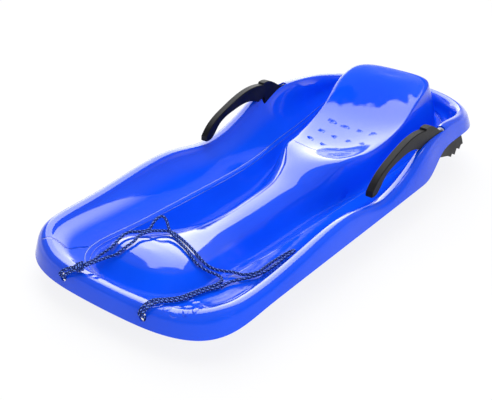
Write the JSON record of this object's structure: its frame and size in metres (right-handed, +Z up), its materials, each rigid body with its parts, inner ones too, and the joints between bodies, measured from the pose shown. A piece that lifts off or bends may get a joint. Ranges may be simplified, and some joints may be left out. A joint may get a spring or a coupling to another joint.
{
  "type": "snow sled with brakes",
  "caption": "Moulded plastic snow sled with a rolled rim, leg channels, seat and backrest, a hand brake on each side and a knotted tow rope.",
  "frame": {"origin": "on the snow under the middle of the hull: midway along its length and across its width, at the flat undersides of the keels", "axes": "-Y to the front, where the tow rope is, +X to the rider's left, +Z up"},
  "size_m": [0.4096, 0.8907, 0.152],
  "materials": {
    "hull_plastic": "glossy saturated blue",
    "lever_plastic": "grained black",
    "pin_steel": "plain drawn wire",
    "rope_braid": "blue and black braid"
  },
  "bodies": {
    "sled": {"hull_shell": "hull_plastic", "pivot_pin_left": "pin_steel", "pivot_pin_right": "pin_steel", "tow_rope_strand_1": "rope_braid", "tow_rope_strand_2": "rope_braid", "tow_rope_tail_1": "rope_braid", "tow_rope_tail_2": "rope_braid", "far_rope_knot": "rope_braid", "far_end_knot": "rope_braid", "near_end_knot": "rope_braid"},
    "left_brake": {"brake_lever_left": "lever_plastic"},
    "right_brake": {"brake_lever_right": "lever_plastic"}
  },
  "joints": [
    {"name": "left_brake_hinge", "type": "hinge", "parent": "sled", "child": "left_brake", "pos_m": [0.174, 0.20025, 0.1], "axis": [-1, 0, 0], "range_deg": [0, 40]},
    {"name": "right_brake_hinge", "type": "hinge", "parent": "sled", "child": "right_brake", "pos_m": [-0.174, 0.20025, 0.1], "axis": [-1, 0, 0], "range_deg": [0, 40]}
  ]
}
